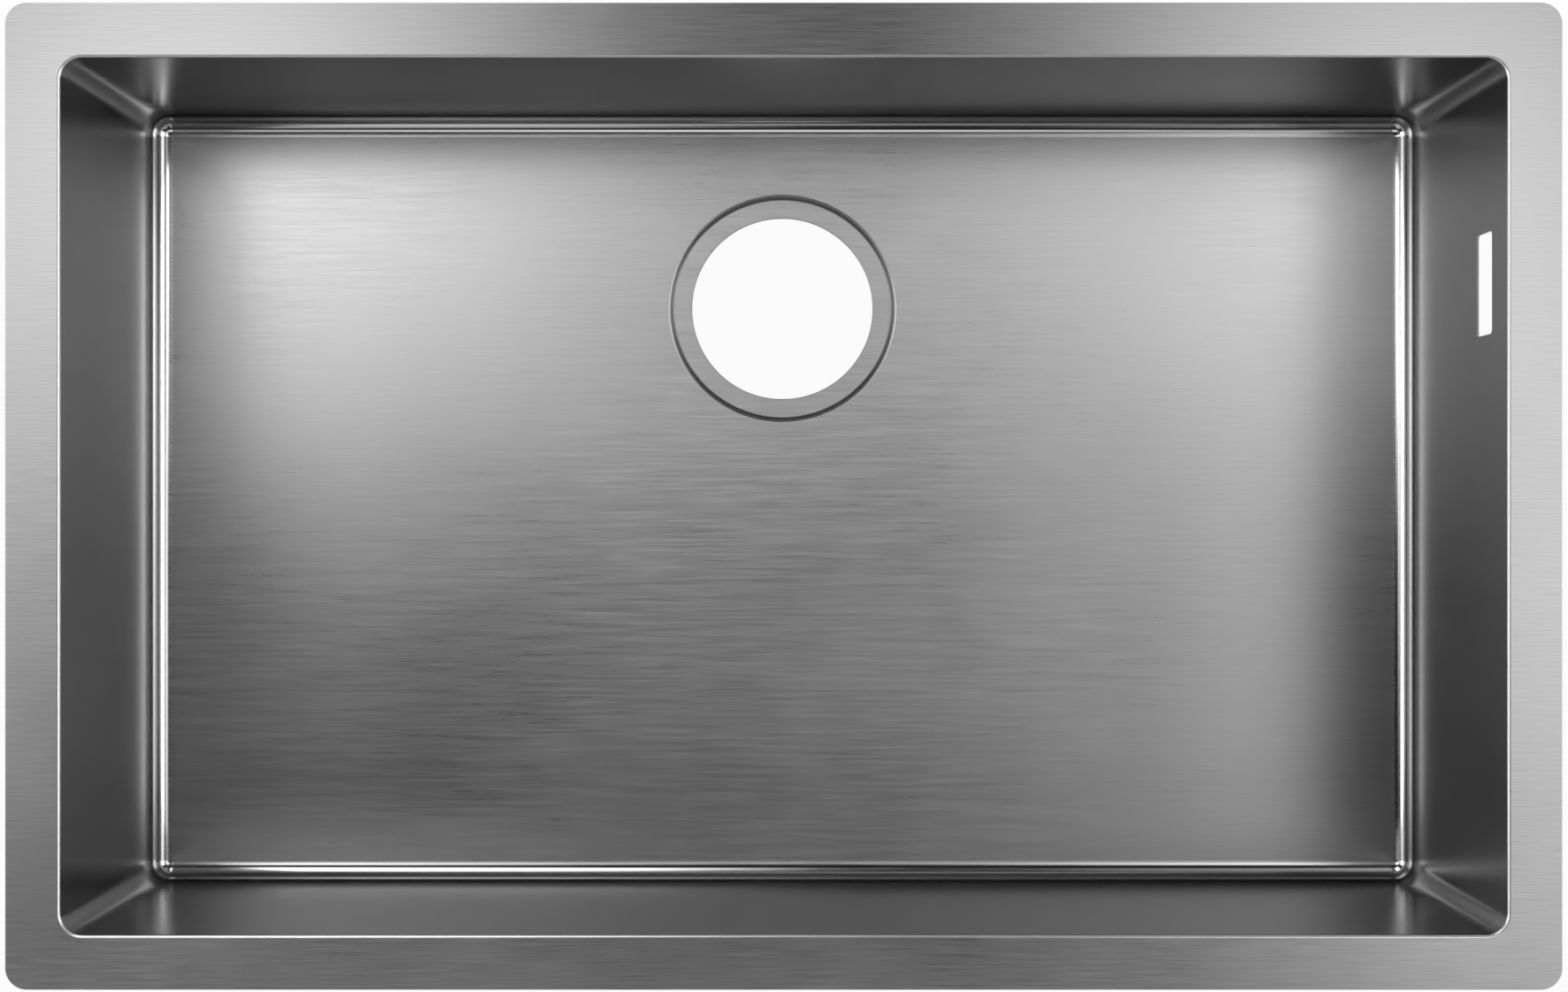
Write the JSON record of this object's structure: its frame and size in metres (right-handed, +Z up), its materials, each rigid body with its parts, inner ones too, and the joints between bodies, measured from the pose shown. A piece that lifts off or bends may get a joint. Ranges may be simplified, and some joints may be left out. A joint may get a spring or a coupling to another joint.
{
  "type": "undermount kitchen sink",
  "caption": "Rectangular undermount kitchen sink: brushed steel bowl with a flat rim, recessed drain hole near the back, overflow slot, sound pads and swivelling clamp straps under the rim.",
  "frame": {"origin": "the middle of the bowl's opening, on the rim's upper face, which is the plane of the worktop's underside", "axes": "+X to the right along the long side, towards the overflow; +Y to the back, towards the drain; +Z up out of the bowl"},
  "size_m": [0.71, 0.45, 0.194],
  "materials": {
    "brushed_stainless": "satin stainless steel, brushed along the sink's length",
    "pad_rubber": "matt dark grey sound-deadening rubber",
    "zinc_plated_steel": "bright zinc plating on steel",
    "stainless_fixings": "plain stainless steel"
  },
  "bodies": {
    "sink": {"bowl_shell": "brushed_stainless", "floor_pad_left": "pad_rubber", "floor_pad_right": "pad_rubber", "floor_pad_front": "pad_rubber", "wall_pad_front": "pad_rubber", "wall_pad_back": "pad_rubber", "wall_pad_left": "pad_rubber", "wall_pad_right": "pad_rubber", "weld_studs": "stainless_fixings", "flat_washers": "stainless_fixings", "spring_washers": "stainless_fixings", "wing_nuts": "zinc_plated_steel"},
    "strap_back_left": {"clamp_strap_back_left": "zinc_plated_steel"},
    "strap_back_middle": {"clamp_strap_back_middle": "zinc_plated_steel"},
    "strap_back_right": {"clamp_strap_back_right": "zinc_plated_steel"},
    "strap_front_left": {"clamp_strap_front_left": "zinc_plated_steel"},
    "strap_front_middle": {"clamp_strap_front_middle": "zinc_plated_steel"},
    "strap_front_right": {"clamp_strap_front_right": "zinc_plated_steel"},
    "strap_left_end": {"clamp_strap_left_end": "zinc_plated_steel"},
    "strap_right_end": {"clamp_strap_right_end": "zinc_plated_steel"}
  },
  "joints": [
    {"name": "swing_back_left", "type": "hinge", "parent": "sink", "child": "strap_back_left", "pos_m": [-0.24, 0.213, -0.0023], "axis": [0, 0, 1], "range_deg": [0, 180]},
    {"name": "swing_back_middle", "type": "hinge", "parent": "sink", "child": "strap_back_middle", "pos_m": [0, 0.213, -0.0023], "axis": [0, 0, 1], "range_deg": [0, 180]},
    {"name": "swing_back_right", "type": "hinge", "parent": "sink", "child": "strap_back_right", "pos_m": [0.24, 0.213, -0.0023], "axis": [0, 0, -1], "range_deg": [0, 180]},
    {"name": "swing_front_left", "type": "hinge", "parent": "sink", "child": "strap_front_left", "pos_m": [-0.24, -0.213, -0.0023], "axis": [0, 0, -1], "range_deg": [0, 180]},
    {"name": "swing_front_middle", "type": "hinge", "parent": "sink", "child": "strap_front_middle", "pos_m": [0, -0.213, -0.0023], "axis": [0, 0, -1], "range_deg": [0, 180]},
    {"name": "swing_front_right", "type": "hinge", "parent": "sink", "child": "strap_front_right", "pos_m": [0.24, -0.213, -0.0023], "axis": [0, 0, 1], "range_deg": [0, 180]},
    {"name": "swing_left_end", "type": "hinge", "parent": "sink", "child": "strap_left_end", "pos_m": [-0.343, 0, -0.0023], "axis": [0, 0, 1], "range_deg": [0, 180]},
    {"name": "swing_right_end", "type": "hinge", "parent": "sink", "child": "strap_right_end", "pos_m": [0.343, 0, -0.0023], "axis": [0, 0, 1], "range_deg": [0, 180]}
  ]
}
